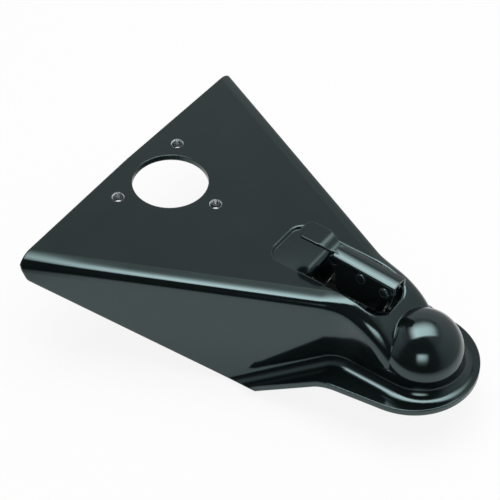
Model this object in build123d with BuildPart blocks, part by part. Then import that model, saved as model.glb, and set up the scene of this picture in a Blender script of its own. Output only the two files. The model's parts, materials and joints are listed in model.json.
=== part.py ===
"""Trailer coupling head for an A-frame drawbar: a pressed steel shell with a lever latch and a ball clamp.

Millimetres. The origin is the centre of the jack hole on the top plate, X runs forward to the ball, Z is up.
"""
import os
from math import acos, atan2, cos, hypot, radians, sin, sqrt, tan

from build123d import *

# Pressed shell: top plate, side walls, neck and ball dome
SHEET = 4.76
SIDE_ANGLE = 25.0
PLATE_REAR = 41.3
REAR_HALF = 130.9
REAR_PEAK = 2.4
BEND_R = 12.0
BALL_R = 25.4
SEAT_PLAY = 0.8
BALL_Z = -41.5
NECK_LENGTH = 51.58
NECK_R = 58.0
NECK_TURN_ANGLE = 66.0
NECK_FOOT = 3.6
NECK_PLAN_R = 45.0
SKIRT_BACK = 39.6

# Flared lip round the nose and along the front of the side walls; BACK means behind the ball's centre
LIP_Z = -61.0
LIP_NOSE_BACK = 7.6
LIP_NOSE_R = 49.8
LIP_WAIST_BACK = 52.6
LIP_WAIST_HALF = 56.5
LIP_WAIST_R = 60.0
LIP_KNEE_BACK = 46.6
LIP_KNEE_R = 30.0
LIP_SLOPE_ANGLE = 29.7
LIP_COVE = 8.0
LIP_HEEL_LEAD = 2.88
LIP_END_RUN = 19.2
LIP_TIP_FLARE = 14.1
LIP_TIP_R = 4.0

# Lower edge of the side walls, measured from the plate's rear edge
TRIM_TOP_X = 2.8
TRIM_TOP_Z = -7.0
TRIM_CORNER_X = 7.3
TRIM_CORNER_Z = -20.0
TRIM_CORNER_R = 6.0
TRIM_SLOPE_ANGLE = 29.1

# Jack hole and its three tapped holes with drawn collars
JACK_R = 28.575
JACK_CIRCLE_R = 41.9
JACK_BOLTS = 3
TAP_R = 4.1
TAP_MOUTH_R = 4.8
COLLAR_R = 7.2
COLLAR_DROP = 2.6

# Latch slot through the plate and neck, with a finger pocket pressed behind it
SLOT_FRONT_BACK = 25.6
SLOT_LENGTH = 67.5
SLOT_HALF = 20.0
SLOT_CORNER_R = 12.0
SLOT_RIM_R = 1.8
POCKET_LENGTH = 28.5
POCKET_DEPTH = 5.0
POCKET_REAR_DEPTH = 2.0
POCKET_CORNER_R = 10.0
TONGUE_REACH = 5.0
TONGUE_R = 6.5
TONGUE_HALF = 17.0
TONGUE_DROP = 28.0

# Lever linkage in the XZ plane: two fixed pivots, and the arm that is alike on the handle and the clamp
HANDLE_PIVOT_BACK = 29.1
HANDLE_PIVOT_Z = 6.5
CLAMP_PIVOT_BACK = 42.6
CLAMP_PIVOT_Z = -34.0
ARM_BACK = 20.0
ARM_RISE = 2.0
HANDLE_PIN_R = 2.5
CLAMP_PIN_R = 4.0
RUN_GAP = 0.05
SIDE_GAP = 0.4
WASHER_GAP = 0.15
PIN_HEAD_R = 4.2
PIN_HEAD = 1.8
PIN_TAIL = 1.2
CLIP_SHEET = 0.8
CLIP_R = 4.4
CLIP_GROOVE = 0.5

# Bent brackets that carry both pivots
BRACKET_SHEET = 2.4
CHEEK_TOP_R = 5.5
CHEEK_FOOT_R = 6.5
WING_LEAD = 3.0
WING_LENGTH = 10.0
WING_TOP = -22.0

# Latch handle: a folded channel with a lifting paddle behind it, measured from the handle's pivot
HANDLE_SHEET = 2.3
HANDLE_IN = 5.0
HANDLE_BACK = 45.5
HANDLE_BACK_Z = 17.9
HANDLE_FORE = 7.5
HANDLE_FORE_Z = 14.9
HANDLE_CROWN_R = 14.0
HANDLE_EDGE_R = 1.2
EAR_R = 5.0
SKIRT_Z = -17.0
SKIRT_FORE = -1.5
SKIRT_TAIL_LEAD = 2.5
SKIRT_CORNER_R = 5.0
LOCK_BACK = 43.5
LOCK_Z = 10.5
LOCK_HOLE_R = 2.6
SKIRT_TAIL_R = 5.5
PADDLE_BACK = 76.0
PADDLE_Z = 22.0
PADDLE_CREST_BACK = 57.5
PADDLE_LAP = 6.6
PADDLE_HALF = 9.0
PADDLE_NECK_HALF = 4.6
PADDLE_SINK = 1.1
PADDLE_CORNER_R = 6.0
PADDLE_EDGE_R = 0.8

# Lock lug that stands in the slot under the handle
LUG_SHEET = 4.0
LUG_FOOT_TOP = -12.0
LUG_FOOT_LOW = -26.0
LUG_HEAD_R = 4.1

# Eye bolt, its trunnion, spring and nut
EYE_R = 5.0
ROD_R = 3.0
TRUNNION_R = 5.0
TRUNNION_FLAT = 4.2
TRUNNION_OVER = 1.0
SEAT_WASHER_R = 5.6
SEAT_WASHER = 1.6
SPRING_LENGTH = 12.0
SPRING_R = 4.3
SPRING_WIRE_R = 0.85
SPRING_TURNS = 4.0
NUT_FLATS = 10.0
NUT_DEPTH = 5.2
NUT_CROWN_ANGLE = 60.0
ROD_TAIL = 4.0

# Ball clamp, which closes under the ball from behind
CUP_PLAY = 0.5
CUP_WALL = 5.0
CUP_FROM_ANGLE = 184.0
CUP_TO_ANGLE = 226.0
CUP_HALF = 17.0
EAR_SHEET = 3.5
HUB_R = 6.5
TAIL_R = 6.2
THRUST_WASHER = 1.6
THRUST_R = 7.0
SPACER_WALL = 1.4
ARM_INSET_ANGLE = 4.0

# How near to a place an edge or corner is looked for, and how steep counts as along an axis
TOUCH = 0.01
ALONG = 0.95
FACING = 0.3

# The ball stands a neck's length ahead of where the side walls have narrowed to the dome
SEAT_R = BALL_R + SEAT_PLAY
DOME_R = SEAT_R + SHEET
SLOPE = radians(SIDE_ANGLE)
NECK_TURN = radians(NECK_TURN_ANGLE)
BALL_X = (REAR_HALF - DOME_R) / tan(SLOPE) - PLATE_REAR + NECK_LENGTH
NECK_START = BALL_X - NECK_FOOT - NECK_R * sin(NECK_TURN)
DRAWN_DEPTH = 2 * REAR_HALF

# Places on the slot and the linkage that follow from the ones above
SLOT_FRONT = BALL_X - SLOT_FRONT_BACK
SLOT_REAR = SLOT_FRONT - SLOT_LENGTH
POCKET_REAR = SLOT_REAR - POCKET_LENGTH
TONGUE_X = SLOT_REAR + TONGUE_REACH
HANDLE_PIVOT = (BALL_X - HANDLE_PIVOT_BACK, HANDLE_PIVOT_Z)
CLAMP_PIVOT = (BALL_X - CLAMP_PIVOT_BACK, CLAMP_PIVOT_Z)
EYE_AT = (HANDLE_PIVOT[0] - ARM_BACK, HANDLE_PIVOT[1] + ARM_RISE)
TRUNNION_AT = (CLAMP_PIVOT[0] - ARM_BACK, CLAMP_PIVOT[1] + ARM_RISE)
LINK = hypot(TRUNNION_AT[0] - EYE_AT[0], TRUNNION_AT[1] - EYE_AT[1])
HANDLE_REAR = (HANDLE_PIVOT[0] - HANDLE_BACK, HANDLE_BACK_Z)
HANDLE_FRONT = (HANDLE_PIVOT[0] + HANDLE_FORE, HANDLE_FORE_Z)
HANDLE_SLANT = (HANDLE_FORE_Z - HANDLE_BACK_Z) / (HANDLE_BACK + HANDLE_FORE)
LOCK_HOLE = (HANDLE_PIVOT[0] - LOCK_BACK, LOCK_Z)
PADDLE_REAR = HANDLE_PIVOT[0] - PADDLE_BACK
PADDLE_CREST = HANDLE_PIVOT[0] - PADDLE_CREST_BACK
HANDLE_OUT = HANDLE_IN + HANDLE_SHEET
CHEEK_OUT = HANDLE_IN - SIDE_GAP
CHEEK_IN = CHEEK_OUT - BRACKET_SHEET
CLAMP_IN = CHEEK_OUT + THRUST_WASHER + 2 * WASHER_GAP
CLAMP_OUT = CLAMP_IN + EAR_SHEET
TAB_IN = SEAT_R - BRACKET_SHEET


def side_y(x, inset=0.0):
    """Half width of the shell at x, measured to a face that lies `inset` inside the outer one."""
    return REAR_HALF - inset / cos(SLOPE) - (x + PLATE_REAR) * tan(SLOPE)


def neck_top(x):
    """Height of the shell's upper face along its middle."""
    run = max(0.0, x - NECK_START)
    return sqrt(NECK_R**2 - run**2) - NECK_R


def corners_at(sketch, *points):
    """The sketch's vertices that stand at the given points of its own plane."""
    return [v for v in sketch.vertices() for p in points if hypot(v.X - p[0], v.Y - p[1]) < TOUCH]


def round_along_y(at, radius, low, high, mode=Mode.ADD):
    """A cylinder about a Y axis through the XZ point `at`, from y = low to y = high."""
    with Locations((at[0], (low + high) / 2, at[1])):
        Cylinder(radius, high - low, rotation=(90, 0, 0), mode=mode)


def hull_along_y(rounds, low, high, mode=Mode.ADD):
    """A flat plate that wraps rounds, given as (XZ point, radius), from y = low to y = high."""
    with BuildSketch(Plane.XZ.offset(-high)) as outline:
        for at, radius in rounds:
            with Locations(at):
                Circle(radius)
        make_hull()
    extrude(outline.sketch, amount=high - low, mode=mode)


def pressed_form(inset, overrun):
    """The shell's drawn form, solid inside, taken in by `inset` and run on by `overrun` at the rear."""
    nose_half = DOME_R - inset
    knee_x = (REAR_HALF - inset / cos(SLOPE) - nose_half) / tan(SLOPE) - PLATE_REAR
    rear = -PLATE_REAR - overrun
    corner_x = rear + REAR_PEAK
    corner_y = side_y(corner_x, inset)
    neck_r = NECK_R - inset
    past = BALL_X + BEND_R
    slope_end = (NECK_START + neck_r * sin(NECK_TURN), -inset - neck_r * (1 - cos(NECK_TURN)))
    with BuildPart() as form:
        with BuildSketch(Plane.XY.offset(-inset)) as plan:
            with BuildLine():
                Polyline(
                    (rear, 0), (corner_x, corner_y), (knee_x, nose_half), (BALL_X, nose_half),
                    (BALL_X, -nose_half), (knee_x, -nose_half), (corner_x, -corner_y), close=True,
                )
            make_face()
            fillet(corners_at(plan, (knee_x, nose_half), (knee_x, -nose_half)), NECK_PLAN_R + inset)
        extrude(amount=-DRAWN_DEPTH)
        # The neck rolls over and runs down to the dome
        with BuildSketch(Plane.XZ):
            with BuildLine():
                CenterArc((NECK_START, -inset - neck_r), neck_r, 90, -NECK_TURN_ANGLE)
                Polyline(
                    slope_end, (past, slope_end[1] - (past - slope_end[0]) * tan(NECK_TURN)),
                    (past, NECK_R), (NECK_START, NECK_R), (NECK_START, -inset),
                )
            make_face()
        extrude(amount=2 * REAR_HALF, both=True, mode=Mode.SUBTRACT)
        # The bend between the top and the side walls, from the rear edge to the foot of the neck
        bend = [e for e in form.edges() if e.center().Z > BALL_Z - DOME_R]
        bend = [e for e in bend if e.center().X > REAR_PEAK - PLATE_REAR]
        bend = [e for e in bend if abs(e.center().Y) > nose_half - TOUCH]
        bend = [e for e in bend if max(abs(e.tangent_at(0.5).Y), abs(e.tangent_at(0.5).Z)) < ALONG]
        fillet(bend, BEND_R - inset)
        # The dome over the ball and the round wall below it
        with BuildSketch(Plane.XY.offset(BALL_Z)):
            with Locations((BALL_X, 0)):
                Circle(nose_half)
        extrude(amount=-DRAWN_DEPTH)
        with BuildSketch(Plane.XY.offset(BALL_Z - inset)):
            with Locations((BALL_X, 0)):
                Rectangle(SKIRT_BACK, 2 * nose_half, align=(Align.MAX, Align.CENTER))
        extrude(amount=-DRAWN_DEPTH)
        with Locations((BALL_X, 0, BALL_Z)):
            Sphere(nose_half)
    return form.part


def lip_block(raised, over):
    """Everything over (or under) the lip's surface, `raised` above its lower face."""
    slope = radians(LIP_SLOPE_ANGLE)
    level = LIP_Z + raised
    knee = (LIP_KNEE_X - raised * tan(slope / 2), level)
    front = LIP_NOSE_X + 2 * LIP_NOSE_R
    far = (BEHIND_X, level - (knee[0] - BEHIND_X) * tan(slope))
    end = DRAWN_DEPTH if over else -2 * DRAWN_DEPTH
    with BuildPart() as block:
        with BuildSketch(Plane.XZ) as profile:
            with BuildLine():
                Polyline((front, level), knee, far, (far[0], end), (front, end), close=True)
            make_face()
            fillet(corners_at(profile, knee), LIP_KNEE_R + SHEET - raised)
        extrude(amount=2 * REAR_HALF, both=True)
    return block.part


def pocket_form(grown):
    """The finger pocket's form: the hollow itself, or with `grown` its outside under the plate."""
    half = SLOT_HALF + grown
    rear = POCKET_REAR - grown
    with BuildPart() as form:
        with BuildSketch(Plane.XZ):
            with BuildLine():
                Polyline(
                    (rear, 0), (SLOT_REAR, 0), (SLOT_REAR, -POCKET_DEPTH - grown),
                    (rear, -POCKET_REAR_DEPTH - grown), close=True,
                )
            make_face()
        extrude(amount=half, both=True)
        corners = [e for e in form.edges().filter_by(Axis.Z) if abs(e.center().X - rear) < TOUCH]
        fillet(corners, POCKET_CORNER_R + grown)
    return form.part


def edges_on(faces, form):
    """The edges of the faces that lie on a form's surface, each once."""
    found = []
    for edge in [e for f in faces for e in f.edges()]:
        middle = edge.position_at(0.5)
        new = all((middle - other.position_at(0.5)).length > TOUCH for other in found)
        if new and form.distance_to(Vertex(*middle)) < TOUCH:
            found.append(edge)
    return found


# The lip's underside slopes back and down until it meets the lower edge of the side walls
TRIM_TOP = (TRIM_TOP_X - PLATE_REAR, TRIM_TOP_Z)
TRIM_CORNER = (TRIM_CORNER_X - PLATE_REAR, TRIM_CORNER_Z)
TRIM_FALL = tan(radians(TRIM_SLOPE_ANGLE))
LIP_FALL = tan(radians(LIP_SLOPE_ANGLE))
LIP_NOSE_X = BALL_X - LIP_NOSE_BACK
LIP_KNEE_X = BALL_X - LIP_KNEE_BACK
LIP_WAIST = (BALL_X - LIP_WAIST_BACK, LIP_WAIST_HALF)
MEETING = TRIM_CORNER[1] - LIP_Z + TRIM_FALL * TRIM_CORNER[0] + LIP_FALL * LIP_KNEE_X
LIP_HEEL_X = MEETING / (TRIM_FALL + LIP_FALL) - LIP_HEEL_LEAD
LIP_TIP_X = LIP_HEEL_X + LIP_END_RUN
LIP_TIP = (LIP_TIP_X, side_y(LIP_TIP_X) + LIP_TIP_FLARE)
BEHIND_X = -2 * PLATE_REAR

outer_form = pressed_form(0.0, 0.0)
inner_form = pressed_form(SHEET, BEND_R)

with BuildPart() as coupler_body:
    add(outer_form)
    # The lip's outline: round at the nose, waisted beside the neck, then along the side wall
    reach = (LIP_WAIST[0] - LIP_NOSE_X, LIP_WAIST[1])
    touch = atan2(reach[1], reach[0]) - acos(LIP_NOSE_R / hypot(*reach))
    nose_end = (LIP_NOSE_X + LIP_NOSE_R * cos(touch), LIP_NOSE_R * sin(touch))
    back_y = LIP_TIP[1] + tan(SLOPE) * LIP_TIP[0]
    with BuildSketch() as lip_plan:
        with BuildLine():
            ThreePointArc(nose_end, (LIP_NOSE_X + LIP_NOSE_R, 0), (nose_end[0], -nose_end[1]))
            Polyline(
                (nose_end[0], -nose_end[1]), (LIP_WAIST[0], -LIP_WAIST[1]), (LIP_TIP[0], -LIP_TIP[1]),
                (0, -back_y), (0, back_y), LIP_TIP, LIP_WAIST, nose_end,
            )
        make_face()
        fillet(corners_at(lip_plan, LIP_WAIST, (LIP_WAIST[0], -LIP_WAIST[1])), LIP_WAIST_R)
    lip = extrude(amount=-DRAWN_DEPTH, mode=Mode.PRIVATE)
    add(lip - lip_block(SHEET, over=True))
    lip_faces = [f for f in coupler_body.faces() if f.center().Z < LIP_Z + BEND_R]
    fillet(edges_on([f for f in lip_faces if f.normal_at().Z > FACING], outer_form), LIP_COVE)
    add(lip_block(0.0, over=False), mode=Mode.SUBTRACT)
    # Hollow the shell and round its mouth to match the cove outside
    add(inner_form, mode=Mode.SUBTRACT)
    under_faces = [f for f in coupler_body.faces() if f.center().Z < LIP_Z + SHEET]
    under_faces = [f for f in under_faces if f.normal_at().Z < -FACING]
    mouth = [e for e in edges_on(under_faces, inner_form) if e.center().X > 0]
    fillet(mouth, LIP_COVE + SHEET)
    # Cut the lower edge of the side walls and the slanting ends of the lip
    low_z = TRIM_CORNER[1] - TRIM_FALL * (LIP_NOSE_X - TRIM_CORNER[0])
    with BuildSketch(Plane.XZ) as trim:
        with BuildLine():
            Polyline(
                (BEHIND_X, TRIM_TOP[1]), TRIM_TOP, TRIM_CORNER, (LIP_NOSE_X, low_z),
                (LIP_NOSE_X, -2 * DRAWN_DEPTH), (BEHIND_X, -2 * DRAWN_DEPTH), close=True,
            )
        make_face()
        fillet(corners_at(trim, TRIM_CORNER), TRIM_CORNER_R)
    extrude(amount=2 * REAR_HALF, both=True, mode=Mode.SUBTRACT)
    # The lip's ends are cut in line with the walls: the plane holds the wall's lower edge and the lip's tip
    heel_z = TRIM_CORNER[1] - TRIM_FALL * (LIP_HEEL_X - TRIM_CORNER[0])
    heel = Vector(LIP_HEEL_X, side_y(LIP_HEEL_X) + TOUCH, heel_z)
    tip = Vector(*LIP_TIP, LIP_Z - LIP_FALL * (LIP_KNEE_X - LIP_TIP[0]))
    wall_edge = Vector(1, -tan(SLOPE), -TRIM_FALL)
    with BuildSketch(Plane(origin=heel, x_dir=wall_edge, z_dir=(tip - heel).cross(wall_edge))):
        Rectangle(4 * LIP_END_RUN, 4 * LIP_END_RUN)
    lip_end = extrude(amount=2 * LIP_END_RUN, mode=Mode.PRIVATE)
    add(lip_end, mode=Mode.SUBTRACT)
    mirror(lip_end, about=Plane.XZ, mode=Mode.SUBTRACT)
    tips = [e for e in coupler_body.edges() if abs(e.center().X - LIP_TIP[0]) < TOUCH]
    fillet([e for e in tips if abs(abs(e.center().Y) - LIP_TIP[1]) < TOUCH], LIP_TIP_R)
    # Jack hole and tapped holes
    with PolarLocations(JACK_CIRCLE_R, JACK_BOLTS):
        with Locations((0, 0, -SHEET)):
            Cylinder(COLLAR_R, COLLAR_DROP, align=(Align.CENTER, Align.CENTER, Align.MAX))
    with BuildSketch() as jack_holes:
        Circle(JACK_R)
        with PolarLocations(JACK_CIRCLE_R, JACK_BOLTS):
            Circle(TAP_R)
    extrude(amount=-(SHEET + COLLAR_DROP), mode=Mode.SUBTRACT)
    taps = [e for e in coupler_body.edges().filter_by(GeomType.CIRCLE) if abs(e.radius - TAP_R) < TOUCH]
    chamfer([e for e in taps if abs(e.center().Z) < TOUCH], TAP_MOUTH_R - TAP_R)
    # Finger pocket and latch slot, with one rolled rim round both
    add(pocket_form(SHEET))
    add(pocket_form(0.0), mode=Mode.SUBTRACT)
    with BuildSketch() as slot:
        with BuildLine():
            Polyline(
                (SLOT_REAR, SLOT_HALF), (SLOT_FRONT, SLOT_HALF), (SLOT_FRONT, -SLOT_HALF),
                (SLOT_REAR, -SLOT_HALF), close=True,
            )
        make_face()
        fillet(corners_at(slot, (SLOT_FRONT, SLOT_HALF), (SLOT_FRONT, -SLOT_HALF)), SLOT_CORNER_R)
    extrude(amount=BALL_Z + BALL_R / 2, mode=Mode.SUBTRACT)
    rim = [e for e in coupler_body.edges() if -TOUCH < e.center().X - POCKET_REAR + SLOT_RIM_R]
    rim = [e for e in rim if e.center().X < SLOT_FRONT + SLOT_RIM_R]
    rim = [e for e in rim if abs(e.position_at(0.5).Y) < SLOT_HALF + TOUCH]
    rim = [e for e in rim if abs(e.position_at(0.5).Z - neck_top(e.position_at(0.5).X)) < 2 * TOUCH]
    fillet(rim, SLOT_RIM_R)
    # The pocket's floor ends in a tongue that is bent down into the slot
    floor = (-POCKET_DEPTH, -POCKET_DEPTH - SHEET)
    tongue_low = floor[0] - TONGUE_DROP
    tongue_root = SLOT_REAR - TONGUE_R
    with BuildSketch(Plane.XZ) as tongue:
        with BuildLine():
            Polyline(
                (tongue_root, floor[0]), (TONGUE_X, floor[0]), (TONGUE_X, tongue_low),
                (TONGUE_X - SHEET, tongue_low), (TONGUE_X - SHEET, floor[1]), (tongue_root, floor[1]),
                close=True,
            )
        make_face()
        fillet(corners_at(tongue, (TONGUE_X, floor[0])), TONGUE_R)
        fillet(corners_at(tongue, (TONGUE_X - SHEET, floor[1])), TONGUE_R - SHEET)
    extrude(amount=TONGUE_HALF, both=True)

with BuildPart() as latch_bracket_left:
    hull_along_y([(HANDLE_PIVOT, CHEEK_TOP_R), (CLAMP_PIVOT, CHEEK_FOOT_R)], CHEEK_IN, CHEEK_OUT)
    wing_mid = (CLAMP_PIVOT[0] + WING_LEAD + WING_LENGTH / 2, WING_TOP - BRACKET_SHEET / 2)
    with Locations((wing_mid[0], (CHEEK_IN + SEAT_R) / 2, wing_mid[1])):
        Box(WING_LENGTH, SEAT_R - CHEEK_IN, BRACKET_SHEET)
    with BuildSketch(Plane.XZ.offset(-SEAT_R)):
        with Locations(CLAMP_PIVOT):
            Circle(CHEEK_FOOT_R)
        with Locations(wing_mid):
            Rectangle(WING_LENGTH, BRACKET_SHEET)
        make_hull()
    extrude(amount=BRACKET_SHEET)
    round_along_y(HANDLE_PIVOT, HANDLE_PIN_R + RUN_GAP / 2, CHEEK_IN, CHEEK_OUT, Mode.SUBTRACT)
    round_along_y(CLAMP_PIVOT, CLAMP_PIN_R + RUN_GAP / 2, CHEEK_IN, SEAT_R, Mode.SUBTRACT)

with BuildPart() as latch_bracket_right:
    mirror(latch_bracket_left.part, about=Plane.XZ)

with BuildPart() as paddle:
    # Seen from the side: a strip that rises from the channel's top to the flat that the fingers lift
    crown = HANDLE_SHEET / 2
    with BuildSketch(Plane.XZ) as strip:
        with BuildLine():
            foot = (HANDLE_REAR[0], HANDLE_REAR[1] - crown)
            crest = (PADDLE_CREST, PADDLE_Z - crown)
            Line((foot[0] + PADDLE_LAP, foot[1] + HANDLE_SLANT * PADDLE_LAP - PADDLE_SINK), foot)
            Spline(foot, crest, tangents=[(-1, -HANDLE_SLANT), (-1, 0)])
            Line(crest, (PADDLE_REAR, crest[1]))
        trace(line_width=HANDLE_SHEET)
    extrude(amount=HANDLE_OUT + PADDLE_HALF, both=True)
    # Seen from above: a narrow neck that widens to the paddle
    lap_x = HANDLE_REAR[0] + PADDLE_LAP
    with BuildSketch() as plan:
        with BuildLine():
            Polyline(
                (PADDLE_REAR, 0), (PADDLE_REAR, PADDLE_HALF), (PADDLE_CREST, PADDLE_HALF),
                (HANDLE_REAR[0], PADDLE_NECK_HALF), (lap_x, PADDLE_NECK_HALF), (lap_x, 0),
            )
            mirror(about=Plane.XZ)
        make_face()
        fillet(corners_at(plan, (PADDLE_REAR, PADDLE_HALF), (PADDLE_REAR, -PADDLE_HALF)), PADDLE_CORNER_R)
        crests = corners_at(plan, (PADDLE_CREST, PADDLE_HALF), (PADDLE_CREST, -PADDLE_HALF))
        fillet(crests, 2 * PADDLE_CORNER_R)
    extrude(amount=2 * PADDLE_Z, mode=Mode.INTERSECT)
    flat = [f for f in paddle.faces() if f.center().X < HANDLE_REAR[0] and f.normal_at().Z > FACING]
    rim = [e for f in flat for e in f.edges()]
    rear_rim = [e for e in rim if e.center().X < PADDLE_REAR + TOUCH]
    fillet([e for e in rim if abs(e.tangent_at(0.5).Y) < ALONG] + rear_rim, PADDLE_EDGE_R)

with BuildPart() as latch_handle:
    # The channel's side outline: ears round the pivot and the lock hole, and skirts that hang into the slot
    skirt_fore = (HANDLE_PIVOT[0] + SKIRT_FORE, SKIRT_Z)
    skirt_tail = (LOCK_HOLE[0] + SKIRT_TAIL_LEAD, SKIRT_Z)
    with BuildSketch(Plane.XZ) as outline:
        with BuildLine():
            Polyline(
                HANDLE_REAR, HANDLE_FRONT, (HANDLE_FRONT[0], HANDLE_PIVOT[1]),
                (HANDLE_PIVOT[0] + EAR_R, HANDLE_PIVOT[1]), skirt_fore, skirt_tail, LOCK_HOLE, HANDLE_REAR,
            )
        make_face()
        fillet(corners_at(outline, skirt_fore, skirt_tail), SKIRT_CORNER_R)
        with Locations(HANDLE_PIVOT):
            Circle(EAR_R)
        with Locations(LOCK_HOLE):
            Circle(SKIRT_TAIL_R)
    extrude(amount=HANDLE_OUT, both=True)
    # The top is crowned across
    crown_drop = HANDLE_CROWN_R - sqrt(HANDLE_CROWN_R**2 - HANDLE_OUT**2)
    top_run = (HANDLE_BACK + HANDLE_FORE, HANDLE_FORE_Z - HANDLE_BACK_Z)
    end_face = Plane(
        origin=(HANDLE_REAR[0], 0, HANDLE_REAR[1]), x_dir=(0, 1, 0), z_dir=(top_run[0], 0, top_run[1]),
    )
    with BuildSketch(end_face):
        with BuildLine():
            ThreePointArc((-HANDLE_OUT, -crown_drop), (0, 0), (HANDLE_OUT, -crown_drop))
            Polyline(
                (HANDLE_OUT, -crown_drop), (HANDLE_OUT, -HANDLE_BACK), (-HANDLE_OUT, -HANDLE_BACK),
                (-HANDLE_OUT, -crown_drop),
            )
        make_face()
    extrude(amount=2 * HANDLE_BACK, both=True, mode=Mode.INTERSECT)
    ridge = [e for e in latch_handle.edges() if abs(abs(e.center().Y) - HANDLE_OUT) < TOUCH]
    ridge = [e for e in ridge if e.center().Z > LOCK_Z + EAR_R / 2 and e.length > HANDLE_BACK]
    fillet(ridge, HANDLE_EDGE_R)
    # Hollow from below, open at both ends
    with BuildSketch(Plane.XZ):
        with BuildLine():
            span = (HANDLE_REAR[0] - PADDLE_HALF, HANDLE_FRONT[0] + PADDLE_HALF)
            inside = [HANDLE_REAR[1] - HANDLE_SHEET + HANDLE_SLANT * (x - HANDLE_REAR[0]) for x in span]
            Polyline(
                (span[0], inside[0]), (span[1], inside[1]), (span[1], 2 * SKIRT_Z), (span[0], 2 * SKIRT_Z),
                close=True,
            )
        make_face()
    extrude(amount=HANDLE_IN, both=True, mode=Mode.SUBTRACT)
    add(paddle.part)
    round_along_y(HANDLE_PIVOT, HANDLE_PIN_R + RUN_GAP, -HANDLE_OUT, HANDLE_OUT, Mode.SUBTRACT)
    round_along_y(EYE_AT, HANDLE_PIN_R + RUN_GAP / 2, -HANDLE_OUT, HANDLE_OUT, Mode.SUBTRACT)
    round_along_y(LOCK_HOLE, LOCK_HOLE_R, -HANDLE_OUT, HANDLE_OUT, Mode.SUBTRACT)


def headed_pin(at, seat):
    """A pin through the handle: a head outside one skirt and a clip groove outside the other."""
    tip = seat + CLIP_SHEET + PIN_TAIL
    with BuildPart() as pin:
        round_along_y(at, HANDLE_PIN_R, -seat, tip)
        round_along_y(at, PIN_HEAD_R, -seat - PIN_HEAD, -seat)
        crown = pin.faces().sort_by(Axis.Y)[0].edges()
        fillet(crown, PIN_HEAD / 2)
        with Locations((at[0], seat + CLIP_SHEET / 2, at[1])):
            Cylinder(PIN_HEAD_R, CLIP_SHEET, rotation=(90, 0, 0), mode=Mode.SUBTRACT)
        round_along_y(at, HANDLE_PIN_R - CLIP_GROOVE, seat, seat + CLIP_SHEET)
        chamfer(pin.faces().sort_by(Axis.Y)[-1].edges(), PIN_TAIL / 3)
    return pin.part


def open_clip(at, seat):
    """A spring clip pushed into a pin's groove, open at the bottom."""
    with BuildPart() as clip:
        with BuildSketch(Plane.XZ.offset(-seat - CLIP_SHEET)) as ring:
            with Locations(at):
                Circle(CLIP_R)
                Circle(HANDLE_PIN_R - CLIP_GROOVE, mode=Mode.SUBTRACT)
            with Locations((at[0], at[1] - CLIP_R)):
                Rectangle(2 * (HANDLE_PIN_R - CLIP_GROOVE), 2 * CLIP_R, mode=Mode.SUBTRACT)
        extrude(ring.sketch, amount=CLIP_SHEET)
    return clip.part


with BuildPart() as handle_pivot_pin:
    add(headed_pin(HANDLE_PIVOT, HANDLE_OUT + SIDE_GAP))

with BuildPart() as handle_pin_clip:
    add(open_clip(HANDLE_PIVOT, HANDLE_OUT + SIDE_GAP))

with BuildPart() as eye_bolt_pin:
    add(headed_pin(EYE_AT, HANDLE_OUT))

with BuildPart() as eye_bolt_clip:
    add(open_clip(EYE_AT, HANDLE_OUT))

with BuildPart() as lock_lug:
    with BuildSketch(Plane.XZ):
        with BuildLine():
            Polyline(
                (TONGUE_X, LUG_FOOT_TOP), (TONGUE_X, LUG_FOOT_LOW), (TONGUE_X + LUG_SHEET, LUG_FOOT_LOW),
                close=True,
            )
        make_face()
        with Locations(LOCK_HOLE):
            Circle(LUG_HEAD_R)
        make_hull()
    extrude(amount=LUG_SHEET / 2, both=True)
    round_along_y(LOCK_HOLE, LOCK_HOLE_R, -LUG_SHEET, LUG_SHEET, Mode.SUBTRACT)


def link_plane(distance):
    """The plane square to the eye bolt's rod at a distance from its eye, facing along the rod."""
    along = ((TRUNNION_AT[0] - EYE_AT[0]) / LINK, (TRUNNION_AT[1] - EYE_AT[1]) / LINK)
    foot = (EYE_AT[0] + along[0] * distance, 0, EYE_AT[1] + along[1] * distance)
    return Plane(origin=foot, x_dir=(0, 1, 0), z_dir=(along[0], 0, along[1]))


UPPER_SEAT = LINK + TRUNNION_FLAT
SPRING_FROM = UPPER_SEAT + SEAT_WASHER
LOWER_SEAT = SPRING_FROM + SPRING_LENGTH
NUT_FROM = LOWER_SEAT + SEAT_WASHER
ROD_END = NUT_FROM + NUT_DEPTH + ROD_TAIL

with BuildPart() as eye_bolt:
    with BuildSketch(link_plane(0)):
        Circle(ROD_R)
    extrude(amount=ROD_END)
    chamfer(eye_bolt.faces().sort_by(Axis.Z)[0].edges(), ROD_R / 4)
    round_along_y(EYE_AT, EYE_R, -CHEEK_OUT, CHEEK_OUT)
    round_along_y(EYE_AT, HANDLE_PIN_R + RUN_GAP, -CHEEK_OUT, CHEEK_OUT, Mode.SUBTRACT)

with BuildPart() as clamp_trunnion:
    trunnion_half = CLAMP_OUT + TRUNNION_OVER
    round_along_y(TRUNNION_AT, TRUNNION_R, -trunnion_half, trunnion_half)
    with BuildSketch(link_plane(UPPER_SEAT)):
        Rectangle(2 * CLAMP_IN - SIDE_GAP, 4 * TRUNNION_R)
    extrude(amount=TRUNNION_R, mode=Mode.SUBTRACT)
    with BuildSketch(link_plane(LINK - 2 * TRUNNION_R)):
        Circle(ROD_R + RUN_GAP / 2)
    extrude(amount=4 * TRUNNION_R, mode=Mode.SUBTRACT)


def seat_washer(distance):
    """A flat washer on the rod, from a distance along it."""
    with BuildPart() as washer:
        with BuildSketch(link_plane(distance)) as ring:
            Circle(SEAT_WASHER_R)
            Circle(ROD_R + RUN_GAP, mode=Mode.SUBTRACT)
        extrude(ring.sketch, amount=SEAT_WASHER)
    return washer.part


with BuildPart() as spring_washer:
    add(seat_washer(UPPER_SEAT))

with BuildPart() as nut_washer:
    add(seat_washer(LOWER_SEAT))

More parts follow.
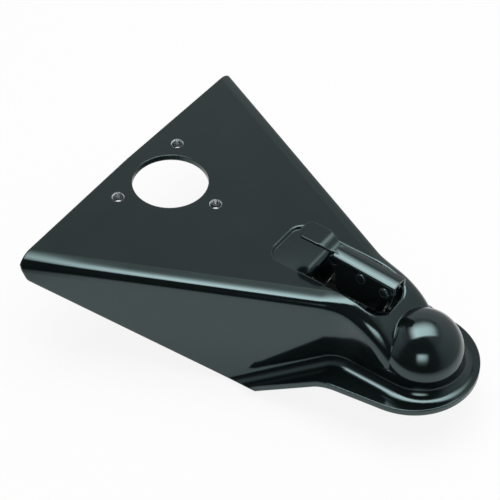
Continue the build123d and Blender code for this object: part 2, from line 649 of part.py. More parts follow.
with BuildPart() as clamp_spring:
    seat = link_plane(SPRING_FROM)
    with BuildLine() as coil:
        Helix(SPRING_LENGTH / SPRING_TURNS, SPRING_LENGTH, SPRING_R, seat.origin, seat.z_dir)
    with BuildSketch(Plane(origin=coil.line @ 0, z_dir=coil.line % 0)):
        Circle(SPRING_WIRE_R)
    sweep(path=coil.line, is_frenet=True)
    # Both ends are ground flat to sit on the washers
    with BuildSketch(seat):
        Circle(2 * SPRING_R)
    extrude(amount=SPRING_LENGTH, mode=Mode.INTERSECT)

with BuildPart() as adjusting_nut:
    with BuildSketch(link_plane(NUT_FROM)):
        RegularPolygon(NUT_FLATS / 2, 6, major_radius=False)
        Circle(ROD_R + RUN_GAP / 2, mode=Mode.SUBTRACT)
    extrude(amount=NUT_DEPTH)
    # A cone takes the corners off both ends
    for end, facing in ((NUT_FROM, 1), (NUT_FROM + NUT_DEPTH, -1)):
        face = link_plane(end)
        with BuildSketch(Plane(origin=face.origin, x_dir=face.x_dir, z_dir=face.z_dir * facing)):
            Circle(NUT_FLATS / 2)
        extrude(amount=NUT_DEPTH, taper=-NUT_CROWN_ANGLE, mode=Mode.INTERSECT)

with BuildPart() as ball_clamp:
    # The cup is a slice of a thick spherical shell behind and below the ball
    cup_r = BALL_R + CUP_PLAY
    with Locations((BALL_X, 0, BALL_Z)):
        Sphere(cup_r + CUP_WALL)
    with BuildSketch(Plane.XZ):
        with BuildLine():
            turns = [radians(a) for a in (CUP_FROM_ANGLE, (CUP_FROM_ANGLE + CUP_TO_ANGLE) / 2, CUP_TO_ANGLE)]
            rays = [(BALL_X + 2 * DOME_R * cos(a), BALL_Z + 2 * DOME_R * sin(a)) for a in turns]
            Polyline((BALL_X, BALL_Z), *rays, close=True)
        make_face()
    extrude(amount=CUP_HALF, both=True, mode=Mode.INTERSECT)
    # Two ears join the cup to the pivot and to the trunnion behind it
    arm_r = cup_r + CUP_WALL / 2
    arm_inset = radians(ARM_INSET_ANGLE)
    arm_ends = [radians(CUP_FROM_ANGLE) + arm_inset, radians(CUP_TO_ANGLE) - 3 * arm_inset]
    arms = [((BALL_X + arm_r * cos(a), BALL_Z + arm_r * sin(a)), CUP_WALL / 2) for a in arm_ends]
    for low in (CLAMP_IN, -CLAMP_OUT):
        hull_along_y([(CLAMP_PIVOT, HUB_R), *arms], low, low + EAR_SHEET)
        hull_along_y([(CLAMP_PIVOT, HUB_R), (TRUNNION_AT, TAIL_R)], low, low + EAR_SHEET)
    with Locations((BALL_X, 0, BALL_Z)):
        Sphere(cup_r, mode=Mode.SUBTRACT)
    round_along_y(CLAMP_PIVOT, CLAMP_PIN_R + RUN_GAP, -CLAMP_OUT, CLAMP_OUT, Mode.SUBTRACT)
    round_along_y(TRUNNION_AT, TRUNNION_R + 2 * RUN_GAP, -CLAMP_OUT, CLAMP_OUT, Mode.SUBTRACT)

with BuildPart() as clamp_pivot_pin:
    round_along_y(CLAMP_PIVOT, CLAMP_PIN_R, -SEAT_R, SEAT_R)


def tube_on_pivot(radius, low, high):
    """A ring on the clamp's pivot pin."""
    with BuildPart() as tube:
        round_along_y(CLAMP_PIVOT, radius, low, high)
        round_along_y(CLAMP_PIVOT, CLAMP_PIN_R + RUN_GAP, low, high, Mode.SUBTRACT)
    return tube.part


with BuildPart() as thrust_washer_left:
    add(tube_on_pivot(THRUST_R, CHEEK_OUT + WASHER_GAP, CLAMP_IN - WASHER_GAP))

with BuildPart() as thrust_washer_right:
    mirror(thrust_washer_left.part, about=Plane.XZ)

with BuildPart() as spacer_tube_left:
    add(tube_on_pivot(CLAMP_PIN_R + RUN_GAP + SPACER_WALL, CLAMP_OUT + WASHER_GAP, TAB_IN - WASHER_GAP))

with BuildPart() as spacer_tube_right:
    mirror(spacer_tube_left.part, about=Plane.XZ)

PIECES = {
    "coupler_body": coupler_body,
    "latch_bracket_left": latch_bracket_left,
    "latch_bracket_right": latch_bracket_right,
    "latch_handle": latch_handle,
    "handle_pivot_pin": handle_pivot_pin,
    "handle_pin_clip": handle_pin_clip,
    "eye_bolt_pin": eye_bolt_pin,
    "eye_bolt_clip": eye_bolt_clip,
    "lock_lug": lock_lug,
    "eye_bolt": eye_bolt,
    "clamp_trunnion": clamp_trunnion,
    "spring_washer": spring_washer,
    "clamp_spring": clamp_spring,
    "nut_washer": nut_washer,
    "adjusting_nut": adjusting_nut,
    "ball_clamp": ball_clamp,
    "clamp_pivot_pin": clamp_pivot_pin,
    "thrust_washer_left": thrust_washer_left,
    "thrust_washer_right": thrust_washer_right,
    "spacer_tube_left": spacer_tube_left,
    "spacer_tube_right": spacer_tube_right,
}

os.makedirs("parts", exist_ok=True)
for name, piece in PIECES.items():
    piece.part.label = name
    export_step(piece.part, f"parts/{name}.step")
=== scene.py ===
# %% [markdown]
# # A trailer coupling head
# This lesson dresses a steel coupling head: a pressed plate that is fixed on a trailer's drawbar and
# closes over a tow ball. Its shapes come ready from the CAD model, which is loaded first as a fixed
# frame and never moved. What is left to make is the finish of every piece, the screw threads, the
# studio and the photographer's view.

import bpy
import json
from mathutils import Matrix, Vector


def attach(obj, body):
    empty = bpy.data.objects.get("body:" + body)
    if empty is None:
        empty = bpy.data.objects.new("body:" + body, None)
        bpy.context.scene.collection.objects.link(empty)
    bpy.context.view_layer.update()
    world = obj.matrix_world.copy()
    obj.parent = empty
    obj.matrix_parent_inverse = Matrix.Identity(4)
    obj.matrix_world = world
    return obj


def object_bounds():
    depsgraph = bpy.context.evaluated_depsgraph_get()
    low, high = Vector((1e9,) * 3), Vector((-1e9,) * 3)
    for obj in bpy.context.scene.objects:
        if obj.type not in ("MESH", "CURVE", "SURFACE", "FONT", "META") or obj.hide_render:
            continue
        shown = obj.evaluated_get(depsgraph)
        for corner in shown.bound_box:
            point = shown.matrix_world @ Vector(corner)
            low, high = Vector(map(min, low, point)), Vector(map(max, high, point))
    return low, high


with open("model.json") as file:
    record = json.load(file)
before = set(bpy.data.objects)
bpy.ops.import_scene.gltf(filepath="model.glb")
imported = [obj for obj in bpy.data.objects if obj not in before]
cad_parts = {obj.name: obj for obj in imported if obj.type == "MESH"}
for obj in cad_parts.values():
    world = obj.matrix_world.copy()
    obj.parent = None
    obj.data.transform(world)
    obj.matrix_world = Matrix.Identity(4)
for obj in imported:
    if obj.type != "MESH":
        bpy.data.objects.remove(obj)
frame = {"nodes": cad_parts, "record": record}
cad_box = [[float(v) for v in corner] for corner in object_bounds()]

# %% [markdown]
# ## Sums with wires
# A finish is a small machine of nodes, and its values run along wires. Drawing every node by hand hides
# the idea behind the plumbing, so one class stands for a wire: Python's own + - * on it adds the Math
# node that does the sum. Every other kind of node comes from one method, which sets the node's settings
# before its sockets.

# %% The wire class
import bpy


class Wire:
    """One output of a shader node, which other nodes and sums can use."""

    def __init__(self, tree, out=None):
        self.tree = tree
        self.out = out

    def node(self, kind, settings=None, sockets=None, output=0):
        """Adds a node, its settings first and then its sockets, and gives the wire of one output."""
        made = self.tree.nodes.new(kind)
        for name, value in (settings or {}).items():
            if name == "stops":
                stops = made.color_ramp.elements
                while len(stops) < len(value):
                    stops.new(0.5)
                for stop, (place, shade) in zip(stops, value):
                    stop.position = place
                    stop.color = shade
            else:
                setattr(made, name, value)
        for name, value in (sockets or {}).items():
            if isinstance(value, Wire):
                self.tree.links.new(value.out, made.inputs[name])
            else:
                made.inputs[name].default_value = value
        return Wire(self.tree, made.outputs[output] if made.outputs else None)

    def sum(self, operation, first, second):
        """Adds the Math node of one operation on two values or wires."""
        return self.node("ShaderNodeMath", {"operation": operation}, {0: first, 1: second})

    def __add__(self, other):
        return self.sum("ADD", self, other)

    def __sub__(self, other):
        return self.sum("SUBTRACT", self, other)

    def __rsub__(self, other):
        return self.sum("SUBTRACT", other, self)

    def __mul__(self, other):
        return self.sum("MULTIPLY", self, other)

    __radd__ = __add__
    __rmul__ = __mul__


print("wires can add, take away and multiply")

# %% [markdown]
# ## A fresh finish
# Each finish starts as an empty node tree. Its patterns read Object coordinates, which are metres on
# the real piece, so a noise of scale 400 has grains of about 2.5 mm whatever the piece's size.

# %% Start a finish and close it
def fresh_finish(name):
    """An empty material, a wire to start from, and the place on the piece in metres."""
    finish = bpy.data.materials.new(name)
    finish.use_nodes = True
    finish.node_tree.nodes.clear()
    start = Wire(finish.node_tree)
    return finish, start, start.node("ShaderNodeTexCoord", output="Object")


def close_finish(start, sockets):
    """Puts the surface shader and the output at the end of the tree."""
    surface = start.node("ShaderNodeBsdfPrincipled", sockets=sockets)
    start.node("ShaderNodeOutputMaterial", sockets={"Surface": surface})


def grains(start, place, scale, detail=2.0):
    """A noise between 0 and 1, with grains of about 1 / scale metres."""
    return start.node("ShaderNodeTexNoise", sockets={"Vector": place, "Scale": scale, "Detail": detail})


def along(start, vector, way):
    """How far a vector reaches along a fixed way."""
    return start.node("ShaderNodeVectorMath", {"operation": "DOT_PRODUCT"}, {0: vector, 1: way}, "Value")


def shades(*stops):
    """The stops of a grey ramp, from pairs of a place and a level."""
    return {"stops": [(place, (level, level, level, 1)) for place, level in stops]}


print("finishes read metres on the piece")

# %% [markdown]
# ## Tighter side bends
# On the real shell the plate runs almost flat to its edge and then turns a tight corner down to the
# wall. The solid has one plain round bend there, which would draw the light too far in. So a bump leans
# the paint's normal on the bend, first back to the plate and then on to the wall. Its height is worked
# out from the sine of the bend's turn in such a way that it ends level on both sides. It grows from the
# rear, and fades before the neck.

# %% Draw the bends tighter
from math import cos, pi, radians, sin, tan

SHELL_REAR = 0.0413
SHELL_HALF = 0.1309
SHELL_SLOPE = radians(25)
BEND_R = 0.012
EARLY_LEAN = 0.18
LATE_LEAN = 1.07
LEAN_TURNS = sin(radians(58)) ** 2
GROWTH_FROM_REAR = shades((0.03, 0.5), (0.2, 0.9), (0.32, 1.0), (0.83, 1.0), (0.92, 0.0))


def inside_wall(start, place):
    """How far a place lies inside the nearer wall's plane, across the plate."""
    x = along(start, place, (1, 0, 0))
    y = start.node("ShaderNodeMath", {"operation": "ABSOLUTE"}, {0: along(start, place, (0, 1, 0))})
    return SHELL_HALF - (x + SHELL_REAR) * tan(SHELL_SLOPE) - y


def drawn_bend(start, place, normal):
    """Leans the normal on the two side bends, as on a bend that was drawn to a tight corner."""
    level = BEND_R - inside_wall(start, place) * cos(SHELL_SLOPE)
    drop = along(start, place, (0, 0, 1)) + BEND_R
    turn = start.node("ShaderNodeMath", {"operation": "ARCTAN2"}, {0: level, 1: drop})
    turn = start.sum("MINIMUM", start.sum("MAXIMUM", turn, 0.0), pi / 2)
    lift = start.node("ShaderNodeMath", {"operation": "SINE"}, {0: turn})
    square = lift * lift
    rise = square * (lift * (LATE_LEAN * 2 / 3) + EARLY_LEAN)
    fall = square * square * (lift * (LATE_LEAN * 2 / 5) + EARLY_LEAN / 2) * (1 / LEAN_TURNS)
    ahead_here = along(start, place, (4, 0, 0)) + 0.2
    growth = start.node("ShaderNodeValToRGB", GROWTH_FROM_REAR, {0: ahead_here})
    return start.node("ShaderNodeBump", sockets={
        "Height": rise - fall, "Distance": BEND_R, "Strength": growth, "Normal": normal,
    })


print("side bends of", BEND_R, "m radius look tighter")

# %% [markdown]
# ## Gloss black paint
# The shell and the latch are stoved in gloss black. Wet paint pulls itself almost flat, but a faint
# orange peel of a few microns stays, and the pressed sheet under it is never quite flat either. Both
# are bumps here: fine grains on broad ones. Paint also runs thin and round over a cut edge, and the
# Bevel node bends the light there as such an edge does, without a change to the mesh. The black wanders
# a little, and so does the gloss. A cool tint in the reflection is set on the shader's own socket,
# because it is the same all over.

# %% Make the paint
SHELL_EDGE = 0.0016
LATCH_EDGE = 0.0008
PAINT_HAZE = 0.08
HAZE_SPREAD = 0.05
DRIFT_SCALE = 22.0
PAINT_IOR = 1.66
DEEP_BLACK = (0.003, 0.0047, 0.005, 1)
WORN_BLACK = (0.005, 0.0072, 0.0078, 1)
COOL_TINT = (0.71, 1.0, 1.02, 1)
WAVE_SCALE = 30.0
WAVE_HEIGHT = 0.00006
PEEL_SCALE = 420.0
PEEL_HEIGHT = 0.000004


def gloss_black(name, edge, bent):
    """Black stoving paint that rounds the edges by some radius, on a bent shell or on small pieces."""
    finish, start, place = fresh_finish(name)
    drift = grains(start, place, DRIFT_SCALE, 4.0)
    black = start.node("ShaderNodeValToRGB", {"stops": [(0.35, DEEP_BLACK), (0.65, WORN_BLACK)]}, {0: drift})
    normal = start.node("ShaderNodeBevel", {"samples": 6}, {"Radius": edge})
    if bent:
        normal = drawn_bend(start, place, normal)
    waves = start.node("ShaderNodeBump", sockets={
        "Height": grains(start, place, WAVE_SCALE, 1.0), "Distance": WAVE_HEIGHT, "Normal": normal,
    })
    peel = start.node("ShaderNodeBump", sockets={
        "Height": grains(start, place, PEEL_SCALE, 1.0), "Distance": PEEL_HEIGHT, "Normal": waves,
    })
    close_finish(start, {
        "Base Color": black, "Roughness": drift * HAZE_SPREAD + PAINT_HAZE, "Normal": peel,
        "IOR": PAINT_IOR, "Specular Tint": COOL_TINT,
    })
    return finish


shell_black = gloss_black("gloss_black_shell", SHELL_EDGE, bent=True)
latch_black = gloss_black("gloss_black_latch", LATCH_EDGE, bent=False)
print("paints:", shell_black.name, latch_black.name)

# %% [markdown]
# ## Zinc plate, spring steel and cut steel
# Washers, the nut and the eye bolt are bright zinc plated, which shows as a pale metal with soft clouds
# and fine tumbling marks. The spring is dark oiled steel. A tap leaves a bright cone at a hole's mouth
# and rougher threads behind it. The threads' steel is given dark shades as a painted shade for the
# inside of the hole. All of them are one recipe with other shades: clouds choose the shade, finer
# clouds the gloss, and fine grains the marks.

# %% Make the metals
CLOUD_SCALE = 130.0
GLOSS_SCALE = 380.0
GLOSS_SPREAD = 0.16
MARK_SCALE = 1500.0


def clouded_metal(name, dark, pale, haze, marks):
    """A bare or plated metal that runs from a dark to a pale shade, with tumbling marks of some height."""
    finish, start, place = fresh_finish(name)
    clouds = grains(start, place, CLOUD_SCALE, 3.0)
    shade = start.node("ShaderNodeValToRGB", {"stops": [(0.3, (*dark, 1)), (0.7, (*pale, 1))]}, {0: clouds})
    haze_here = grains(start, place, GLOSS_SCALE) * GLOSS_SPREAD + haze
    bump = start.node("ShaderNodeBump", sockets={
        "Height": grains(start, place, MARK_SCALE), "Distance": marks,
    })
    close_finish(start, {"Base Color": shade, "Metallic": 1.0, "Roughness": haze_here, "Normal": bump})
    return finish


zinc_plate = clouded_metal("bright_zinc_plate", (0.5, 0.51, 0.5), (0.66, 0.66, 0.62), 0.2, 0.000006)
spring_steel = clouded_metal("oiled_spring_steel", (0.09, 0.09, 0.095), (0.16, 0.16, 0.16), 0.24, 0.000004)
cut_steel = clouded_metal("fresh_cut_steel", (0.62, 0.64, 0.65), (0.78, 0.8, 0.8), 0.3, 0.000003)
# the threads' dark shades are a painted shade for the inside of the tapped holes
thread_steel_painted_shade = clouded_metal("tapped_thread_steel", (0.17, 0.19, 0.2), (0.3, 0.33, 0.34), 0.34, 0.000003)
print("metals:", zinc_plate.name, spring_steel.name, cut_steel.name, thread_steel_painted_shade.name)

# %% [markdown]
# ## Dress the CAD pieces
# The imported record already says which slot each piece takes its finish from, so the finishes are handed
# out by that list. Only the material slot changes: the meshes stay as they were packed.

# %% Hand out the finishes
finishes = {
    "shell_paint": shell_black, "latch_paint": latch_black,
    "zinc_steel": zinc_plate, "spring_steel": spring_steel,
}
for part in frame["record"]["subparts"]:
    frame["nodes"][part["node"]].material_slots[0].material = finishes[part["material_slot"]]
    print(part["node"], "wears", finishes[part["material_slot"]].name)

# %% [markdown]
# ## Threads in the three tapped holes
# The jack's bolts screw into the plate, so its three holes are tapped after painting and show bare
# steel. A thread is one small triangle that turns round the hole's axis and sinks by a pitch each turn,
# which is what a spin with a step along the axis makes. A plain cone rings each mouth, where the tap
# cut the paint away.

# %% Cut the threads
import bmesh

JACK_CIRCLE = 0.0419
TAP_HOLE = 0.0041
TAP_MOUTH = 0.0048
THREAD_PITCH = 0.0015875
THREAD_RIDGE = 0.00045
THREAD_TOP = -0.0004
THREAD_DEPTH = 0.0066
WALL_OVERLAP = 0.00002
RING_LIP = 0.00005
RING_EDGE = 0.0001
RING_FOOT = 0.0002
TURN_STEPS = 40


def lay_piece(bm, name, body, finish):
    """Makes a mesh object of a finished shape, in its place, and lets it ride on a body."""
    bmesh.ops.recalc_face_normals(bm, faces=bm.faces)
    mesh = bpy.data.meshes.new(name)
    bm.to_mesh(mesh)
    bm.free()
    mesh.shade_smooth()
    mesh.set_sharp_from_angle(angle=radians(35))
    mesh.materials.append(finish)
    piece = bpy.data.objects.new(name, mesh)
    bpy.context.scene.collection.objects.link(piece)
    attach(piece, body)
    print(name, "has", len(mesh.polygons), "faces and rides on", body)


def tapped_thread(name, x, y):
    """A thread's ridge inside one tapped hole."""
    bm = bmesh.new()
    wall = TAP_HOLE + WALL_OVERLAP
    crest = (TAP_HOLE - THREAD_RIDGE, THREAD_TOP - THREAD_PITCH / 2)
    corners = [(wall, THREAD_TOP), crest, (wall, THREAD_TOP - THREAD_PITCH)]
    ridge = bm.faces.new([bm.verts.new((x + r, y, z)) for r, z in corners])
    turns = (THREAD_DEPTH - THREAD_PITCH) / THREAD_PITCH
    steps = int(turns * TURN_STEPS)
    bmesh.ops.spin(
        bm, geom=[ridge, *ridge.edges, *ridge.verts], cent=(x, y, 0), axis=(0, 0, 1),
        dvec=(0, 0, -THREAD_PITCH / TURN_STEPS), angle=steps * 2 * pi / TURN_STEPS, steps=steps,
    )
    lay_piece(bm, name, "root", thread_steel_painted_shade)


def tapped_mouth(name, x, y):
    """The bright cone at a tapped hole's mouth."""
    bm = bmesh.new()
    chamfer = TAP_MOUTH - TAP_HOLE
    wall = TAP_HOLE + WALL_OVERLAP
    loop = [
        (TAP_HOLE, -chamfer), (TAP_MOUTH, WALL_OVERLAP),
        (TAP_MOUTH + RING_LIP, -RING_EDGE), (wall, -chamfer - RING_FOOT),
    ]
    points = [bm.verts.new((x + r, y, z)) for r, z in loop]
    edges = [bm.edges.new((a, b)) for a, b in zip(points, points[1:] + points[:1])]
    bmesh.ops.spin(
        bm, geom=[*points, *edges], cent=(x, y, 0), axis=(0, 0, 1),
        angle=2 * pi, steps=TURN_STEPS, use_merge=True,
    )
    lay_piece(bm, name, "root", cut_steel)


for number in range(3):
    turn = number * 2 * pi / 3
    hole = (JACK_CIRCLE * cos(turn), JACK_CIRCLE * sin(turn))
    tapped_thread(f"tapped_thread_{number + 1}", *hole)
    tapped_mouth(f"tapped_mouth_{number + 1}", *hole)

# %% [markdown]
# ## The studio
# Black gloss paint has hardly a colour of its own: what the eye sees on it is the room. The floor and
# the sky are white to the camera and in a mirror, which Light Path's outputs switch, and matt to the
# light itself, so that a shadow stays. A mirror shows no white under the plate, where the walls keep
# the light off. At the far wall's foot, under the latch's slot, the camera sees no white either: a
# painted shadow darkens the floor's matt colour there, so that no glow shows through the slot.

# %% Floor and sky
from mathutils import Vector

FLOOR_Z = cad_box[0][2]
FLOOR_REACH = 6.0
FLOOR_WHITE = 0.88
FLOOR_MIRRORED = 0.5
FLOOR_GREY = 0.9
# the floor's matt grey at the far wall's foot, where a shadow is painted
PAINTED_FOOT_SHADOW = 0.1
SKY_LIGHT = (0.45, 0.45, 0.45, 1)
WHITE = (1, 1, 1, 1)
WALL_FOOT = (0.108, 0.060, FLOOR_Z)


def stage_piece(bm, name, finish, only_reflected=False):
    """Makes a piece of the studio, which isn't part of the coupling."""
    mesh = bpy.data.meshes.new(name)
    bm.to_mesh(mesh)
    bm.free()
    mesh.materials.append(finish)
    piece = bpy.data.objects.new(name, mesh)
    bpy.context.scene.collection.objects.link(piece)
    if only_reflected:
        piece.visible_camera = False
        piece.visible_diffuse = False
        piece.visible_transmission = False
        piece.visible_shadow = False
    print(name, "stands in the studio")


def seen_white(start, straight, mirrored):
    """How much of the white is shown to the camera, straight or through glass, and in a reflection."""
    path = start.node("ShaderNodeLightPath", output="Is Camera Ray")
    through = Wire(start.tree, path.out.node.outputs["Is Transmission Ray"])
    glossy = Wire(start.tree, path.out.node.outputs["Is Glossy Ray"])
    return start.sum("MINIMUM", (path + through) * straight + glossy * mirrored, 1.0)


def open_floor(start, place):
    """1 on open floor and 0 under the plate, where the shell keeps the light off."""
    inside = inside_wall(start, place) * 10.0 + 0.5
    under = start.node("ShaderNodeValToRGB", shades((0.44, 0.0), (0.5, 1.0)), {0: inside})
    from_rear = along(start, place, (10, 0, 0)) + 0.5
    ahead_of_rear = start.node("ShaderNodeValToRGB", shades((0.25, 0.0), (0.6, 1.0)), {0: from_rear})
    return 1.0 - under * ahead_of_rear


def clear_of_painted_foot_shadow(start, place):
    """1 on open floor and 0 at a painted shadow where the far wall's foot comes down on it, under the
    latch's slot.
    """
    apart = start.node("ShaderNodeVectorMath", {"operation": "DISTANCE"}, {0: place, 1: WALL_FOOT}, "Value")
    return start.node("ShaderNodeValToRGB", shades((0.14, 0.0), (0.34, 1.0)), {0: apart * 20.0})


floor_finish, start, place = fresh_finish("pale_floor")
# painted shadow: at the far wall's foot the matt colour darkens and the camera's white fades
clear = clear_of_painted_foot_shadow(start, place)
matt = start.node("ShaderNodeBsdfDiffuse", sockets={"Color": clear * (FLOOR_GREY - PAINTED_FOOT_SHADOW) + PAINTED_FOOT_SHADOW})
glow = start.node("ShaderNodeEmission", sockets={"Color": WHITE})
shown = seen_white(start, clear * FLOOR_WHITE, open_floor(start, place) * FLOOR_MIRRORED)
mixed = start.node("ShaderNodeMixShader", sockets={0: shown, 1: matt, 2: glow})
start.node("ShaderNodeOutputMaterial", sockets={"Surface": mixed})
bm = bmesh.new()
bmesh.ops.create_grid(bm, x_segments=1, y_segments=1, size=FLOOR_REACH)
bmesh.ops.translate(bm, verts=bm.verts, vec=(0, 0, FLOOR_Z))
stage_piece(bm, "floor", floor_finish)

sky = bpy.data.worlds.new("pale_sky")
sky.use_nodes = True
sky.node_tree.nodes.clear()
start = Wire(sky.node_tree)
soft = start.node("ShaderNodeBackground", sockets={"Color": SKY_LIGHT})
white = start.node("ShaderNodeBackground", sockets={"Color": WHITE})
mixed = start.node("ShaderNodeMixShader", sockets={0: seen_white(start, 1.0, 1.0), 1: soft, 2: white})
start.node("ShaderNodeOutputWorld", sockets={"Surface": mixed})
bpy.context.scene.world = sky
print("floor at", round(FLOOR_Z, 4), "m under a pale sky")

# %% [markdown]
# ## A grey tent and a grey apron
# A photographer who lights black gloss hangs grey cloth all round it, and black cloth behind the
# camera. The tent is half a sphere: one ramp sets its grey by height, and another by the turn away from
# the camera's place, where the black cloth hangs. The apron is the same cloth on the floor, round the
# piece but not under it. Both are shown to reflections alone, so that they take no light from the
# piece.

# %% Hang the tent
CAMERA_AT = Vector((0.7420, -0.9368, 1.1240))
LOOK_AT = Vector((0.0903, -0.0239, 0.0))
BALL_AT = Vector((0.2246, 0.0, -0.0415))
to_camera = (CAMERA_AT - LOOK_AT).normalized()
ahead = Vector((to_camera.x, to_camera.y, 0)).normalized()
aside = Vector((-ahead.y, ahead.x, 0))
TENT_R = 5.0
FLAG_TURN = radians(-9)
FLAG_SHADES = shades((0.25, 1.0), (0.62, 0.76), (0.74, 0.55), (0.82, 0.12), (0.88, 0.06))
WALL_SHADES = shades((0.0, 0.48), (0.3, 0.56), (0.57, 0.64), (0.7, 0.44), (1.0, 0.44))
flag_way = ahead * cos(FLAG_TURN) + aside * sin(FLAG_TURN)


def flagged(start, place):
    """1 behind the piece and 0 behind the camera, where black cloth hangs."""
    level_way = start.node("ShaderNodeVectorMath", {"operation": "MULTIPLY"}, {0: place, 1: (1, 1, 0)})
    unit = start.node("ShaderNodeVectorMath", {"operation": "NORMALIZE"}, {0: level_way})
    return start.node("ShaderNodeValToRGB", FLAG_SHADES, {0: along(start, unit, flag_way) * 0.5 + 0.5})


tent_finish, start, place = fresh_finish("grey_tent")
unit = start.node("ShaderNodeVectorMath", {"operation": "NORMALIZE"}, {0: place})
walls = start.node("ShaderNodeValToRGB", WALL_SHADES, {0: along(start, unit, (0, 0, 1))})
start.node("ShaderNodeOutputMaterial", sockets={
    "Surface": start.node("ShaderNodeEmission", sockets={"Color": walls * flagged(start, place)}),
})
bm = bmesh.new()
bmesh.ops.create_uvsphere(bm, u_segments=48, v_segments=32, radius=TENT_R)
bmesh.ops.bisect_plane(
    bm, geom=[*bm.verts, *bm.edges, *bm.faces], plane_co=(0, 0, FLOOR_Z), plane_no=(0, 0, -1),
    clear_outer=True,
)
stage_piece(bm, "tent", tent_finish, only_reflected=True)

# %% Lay the apron
APRON_CENTRE = Vector((0.09, 0.0, 0.0))
APRON_REACH = Vector((0.30, 0.25, 1000.0))
APRON_GAP = 0.001
APRON_LEVEL = 0.47
apron_finish, start, place = fresh_finish("grey_apron")
offset = start.node("ShaderNodeVectorMath", {"operation": "SUBTRACT"}, {0: place, 1: APRON_CENTRE})
apart = start.node("ShaderNodeVectorMath", {"operation": "DIVIDE"}, {0: offset, 1: APRON_REACH})
reach = start.node("ShaderNodeVectorMath", {"operation": "LENGTH"}, {0: apart}, "Value")
cover = start.node("ShaderNodeValToRGB", shades((0.42, 0.0), (0.6, 1.0)), {0: reach * 0.5})
cloth = start.node("ShaderNodeEmission", sockets={"Color": flagged(start, offset), "Strength": APRON_LEVEL})
bare = start.node("ShaderNodeBsdfTransparent", sockets={"Color": WHITE})
start.node("ShaderNodeOutputMaterial", sockets={
    "Surface": start.node("ShaderNodeMixShader", sockets={0: cover, 1: bare, 2: cloth}),
})
bm = bmesh.new()
bmesh.ops.create_grid(bm, x_segments=1, y_segments=1, size=TENT_R)
bmesh.ops.translate(bm, verts=bm.verts, vec=(0, 0, FLOOR_Z + APRON_GAP))
stage_piece(bm, "apron", apron_finish, only_reflected=True)

# %% [markdown]
# ## Two soft boxes and a lamp
# A large soft box hangs overhead and draws the long lights along the bends and over the dome. A small
# one stands low beside the camera and draws the second light on the dome. Each is a glowing card whose
# light fades to its edges by two ramps, as cloth in front of a lamp does. The piece itself is lit by
# one broad lamp and the sky, at a level at which white looks white.

# %% Hang the soft boxes
def soft_box(name, centre, across, up, width, depth, level, side_fade, rise_fade):
    """A glowing card whose light follows one ramp from side to side and another upwards."""
    finish, start, place = fresh_finish(name)
    offset = start.node("ShaderNodeVectorMath", {"operation": "SUBTRACT"}, {0: place, 1: centre})
    side = start.node("ShaderNodeValToRGB", side_fade, {0: along(start, offset, across / width) + 0.5})
    rise = start.node("ShaderNodeValToRGB", rise_fade, {0: along(start, offset, up / depth) + 0.5})
    start.node("ShaderNodeOutputMaterial", sockets={
        "Surface": start.node("ShaderNodeEmission", sockets={"Color": side * rise, "Strength": level}),
    })
    bm = bmesh.new()
    corners = [(-0.5, -0.5), (0.5, -0.5), (0.5, 0.5), (-0.5, 0.5)]
    bm.faces.new([bm.verts.new(centre + across * (width * s) + up * (depth * t)) for s, t in corners])
    stage_piece(bm, name, finish, only_reflected=True)


BOX_RISE = 1.1
BOX_TURN = 0.17
BOX_ASIDE = 0.05
BOX_BACK = 0.36
BOX_LEVEL = 8.5
BOX_WIDTH = 1.6
BOX_DEPTH = 1.0
LOW_LIFT = radians(20)
LOW_AWAY = 1.2
LOW_ASIDE = 0.03
LOW_LEVEL = 6.5
LOW_WIDTH = 0.74
LOW_DEPTH = 0.72
box_across = (aside - ahead * BOX_TURN).normalized()
box_back = -(ahead + aside * BOX_TURN).normalized()
box_at = BALL_AT + (Vector((0, 0, 1)) + aside * BOX_ASIDE + box_back * BOX_BACK) * BOX_RISE
soft_box(
    "overhead_box", box_at, box_across, box_back, BOX_WIDTH * BOX_RISE, BOX_DEPTH * BOX_RISE, BOX_LEVEL,
    shades(
        (0.0, 0.0), (0.1, 0.12), (0.2, 0.6), (0.29, 1.0), (0.65, 0.8), (0.77, 0.62), (0.9, 0.2), (1.0, 0.08),
    ),
    shades((0.0, 0.0), (0.05, 1.0), (0.4, 0.95), (0.62, 0.56), (0.84, 0.15), (1.0, 0.04)),
)
low_way = (ahead * cos(LOW_LIFT) - aside * LOW_ASIDE + Vector((0, 0, sin(LOW_LIFT)))).normalized()
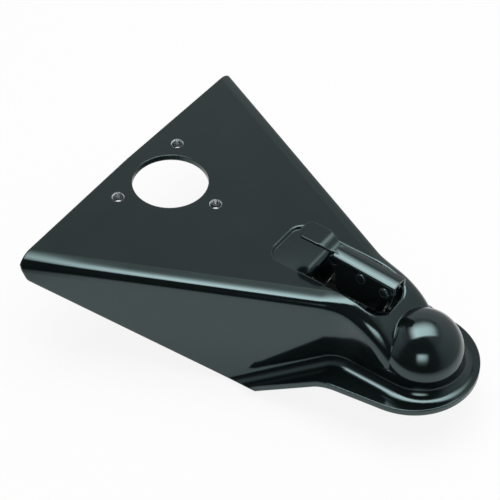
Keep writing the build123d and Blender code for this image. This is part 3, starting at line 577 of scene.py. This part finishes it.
low_up = (Vector((0, 0, cos(LOW_LIFT))) - ahead * sin(LOW_LIFT)).normalized()
soft_box(
    "low_box", BALL_AT + low_way * LOW_AWAY, aside, low_up, LOW_WIDTH, LOW_DEPTH, LOW_LEVEL,
    shades((0.0, 0.0), (0.25, 0.9), (0.4, 1.0), (0.6, 0.9), (0.75, 0.7), (1.0, 0.0)),
    shades((0.0, 0.0), (0.3, 0.15), (0.6, 0.8), (0.8, 1.0), (0.92, 0.6), (1.0, 0.0)),
)

# %% Hang the lamp
LAMP_POWER = 13.0
LAMP_WIDTH = 1.2
LAMP_DEPTH = 1.0
LAMP_FROM_BALL = Vector((-0.1, 0.1, 1.3))
lamp = bpy.data.lights.new("broad_lamp", "AREA")
lamp.shape = "RECTANGLE"
lamp.size = LAMP_WIDTH
lamp.size_y = LAMP_DEPTH
lamp.energy = LAMP_POWER
broad_lamp = bpy.data.objects.new("broad_lamp", lamp)
broad_lamp.location = BALL_AT + LAMP_FROM_BALL
broad_lamp.visible_camera = False
broad_lamp.visible_glossy = False
bpy.context.scene.collection.objects.link(broad_lamp)
print("one lamp of", lamp.energy, "W")

# %% [markdown]
# ## The photographer's view
# The picture was taken from above the nose's near side with a long lens. Its place and its slight roll
# were worked out from the round jack hole and the plate's straight edges. The picture is 500 pixels
# square, so a focal length of 2200 pixels is a lens of 158.4 mm on a 36 mm sensor.

# %% Set the camera
from mathutils import Quaternion

SENSOR_WIDTH = 36.0
LENS = 158.4
ROLL = radians(0.316)
view = bpy.data.cameras.new("photographer")
view.sensor_width = SENSOR_WIDTH
view.lens = LENS
camera = bpy.data.objects.new("photographer", view)
camera.location = CAMERA_AT
camera.rotation_mode = "QUATERNION"
level_view = (LOOK_AT - CAMERA_AT).to_track_quat("-Z", "Y")
camera.rotation_quaternion = level_view @ Quaternion((0, 0, 1), ROLL)
bpy.context.scene.collection.objects.link(camera)
bpy.context.scene.camera = camera
bpy.context.scene.view_settings.view_transform = "Standard"
print("camera", round((CAMERA_AT - LOOK_AT).length, 3), "m from the plate")

# %% Load the json module
import json
